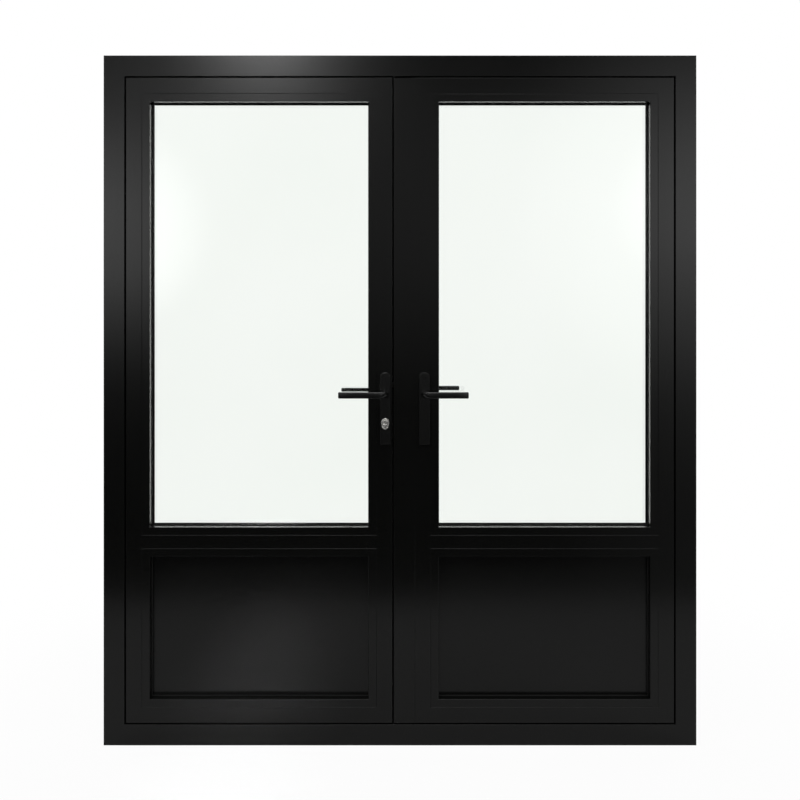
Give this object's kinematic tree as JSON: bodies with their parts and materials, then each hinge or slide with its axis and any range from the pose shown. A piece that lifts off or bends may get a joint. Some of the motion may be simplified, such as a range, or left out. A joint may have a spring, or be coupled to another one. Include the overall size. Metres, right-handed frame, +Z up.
{
  "type": "french doors",
  "caption": "Pair of half-glazed french doors in a rectangular frame, with lever handles, a lock and shoot bolts.",
  "frame": {"origin": "middle of the sill's underside, at mid-depth of the frame", "axes": "+Z up, +X to the right seen from outside, +Y to the inside, the way the leaves open"},
  "size_m": [1.8, 0.18, 2.095],
  "materials": {
    "profile_black": "satin black powder coat",
    "hardware_black": "satin black coat on cast and turned hardware",
    "panel_black": "satin black powder coat on a flat sheet",
    "glass": "clear float glass with a slight green tint",
    "spacer": "dark warm-edge spacer",
    "rubber": "matte black rubber",
    "steel": "zinc-plated and brushed steel",
    "nickel": "satin nickel plate"
  },
  "bodies": {
    "frame": {"frame_jamb_left": "profile_black", "frame_jamb_right": "profile_black", "frame_head": "profile_black", "frame_sill": "profile_black", "frame_gasket": "rubber", "shoot_bolt_keepers": "steel", "frame_hinge_halves": "hardware_black", "hinge_pins": "hardware_black"},
    "left_leaf": {"left_hinge_halves": "hardware_black", "left_hinge_stile": "profile_black", "left_lock_stile": "profile_black", "left_top_rail": "profile_black", "left_mid_rail": "profile_black", "left_bottom_rail": "profile_black", "left_meeting_seal": "rubber", "left_glass_panes": "glass", "left_glass_spacer": "spacer", "left_panel": "panel_black", "left_glazing_beads": "profile_black", "left_glazing_gaskets": "rubber", "left_front_plate": "hardware_black", "left_rear_plate": "hardware_black", "left_plate_screws": "hardware_black", "left_lock_case": "steel", "left_lock_faceplate": "steel", "left_lock_cylinder": "nickel"},
    "right_leaf": {"right_hinge_halves": "hardware_black", "right_hinge_stile": "profile_black", "right_meeting_stile": "profile_black", "right_top_rail": "profile_black", "right_mid_rail": "profile_black", "right_bottom_rail": "profile_black", "right_glass_panes": "glass", "right_glass_spacer": "spacer", "right_panel": "panel_black", "right_glazing_beads": "profile_black", "right_glazing_gaskets": "rubber", "right_front_plate": "hardware_black", "right_rear_plate": "hardware_black", "right_plate_screws": "hardware_black", "right_gearbox": "steel", "false_mullion": "profile_black", "false_mullion_caps": "rubber", "mullion_seal": "rubber", "strike_plate": "steel"},
    "left_lever_set": {"left_front_lever": "hardware_black", "left_rear_lever": "hardware_black", "left_spindle": "steel", "left_lock_follower": "steel"},
    "right_lever_set": {"right_front_lever": "hardware_black", "right_rear_lever": "hardware_black", "right_spindle": "steel", "right_gearbox_follower": "steel"},
    "left_latch": {"left_latch": "steel"},
    "left_deadbolt": {"left_deadbolt": "steel"},
    "left_cylinder_plug": {"left_cylinder_plug": "nickel"},
    "top_shoot_bolt": {"top_shoot_bolt": "steel"},
    "bottom_shoot_bolt": {"bottom_shoot_bolt": "steel"}
  },
  "joints": [
    {"name": "left_leaf_hinge", "type": "hinge", "parent": "frame", "child": "left_leaf", "pos_m": [-0.8565, 0.0423, 1.05], "axis": [0, 0, 1], "range_deg": [0, 105]},
    {"name": "right_leaf_hinge", "type": "hinge", "parent": "frame", "child": "right_leaf", "pos_m": [0.8565, 0.0423, 1.05], "axis": [0, 0, -1], "range_deg": [0, 105]},
    {"name": "left_lever", "type": "hinge", "parent": "left_leaf", "child": "left_lever_set", "pos_m": [-0.045, 0, 1.0705], "axis": [0, -1, 0], "range_deg": [0, 45], "stiffness_Nm_per_rad": 1.2, "springref_deg": -45.84},
    {"name": "left_latch_slide", "type": "slide", "parent": "left_leaf", "child": "left_latch", "axis": [-1, 0, 0], "range_m": [0, 0.0024]},
    {"name": "left_cylinder_turn", "type": "hinge", "parent": "left_leaf", "child": "left_cylinder_plug", "pos_m": [-0.045, 0, 0.982], "axis": [0, 1, 0], "range_deg": [0, 360]},
    {"name": "left_deadbolt_slide", "type": "slide", "parent": "left_leaf", "child": "left_deadbolt", "axis": [1, 0, 0], "range_m": [0, 0.02]},
    {"name": "right_lever", "type": "hinge", "parent": "right_leaf", "child": "right_lever_set", "pos_m": [0.074, 0, 1.0705], "axis": [0, 1, 0], "range_deg": [0, 90]},
    {"name": "top_bolt_slide", "type": "slide", "parent": "right_leaf", "child": "top_shoot_bolt", "axis": [0, 0, 1], "range_m": [0, 0.02]},
    {"name": "bottom_bolt_slide", "type": "slide", "parent": "right_leaf", "child": "bottom_shoot_bolt", "axis": [0, 0, -1], "range_m": [0, 0.02]}
  ],
  "couplings": [
    {"joint": "left_latch_slide", "follows": "left_lever", "m_per_rad": 0.003055},
    {"joint": "left_cylinder_turn", "follows": "left_deadbolt_slide", "rad_per_m": 314.16},
    {"joint": "top_bolt_slide", "follows": "right_lever", "m_per_rad": 0.01273},
    {"joint": "bottom_bolt_slide", "follows": "right_lever", "m_per_rad": 0.01273}
  ]
}
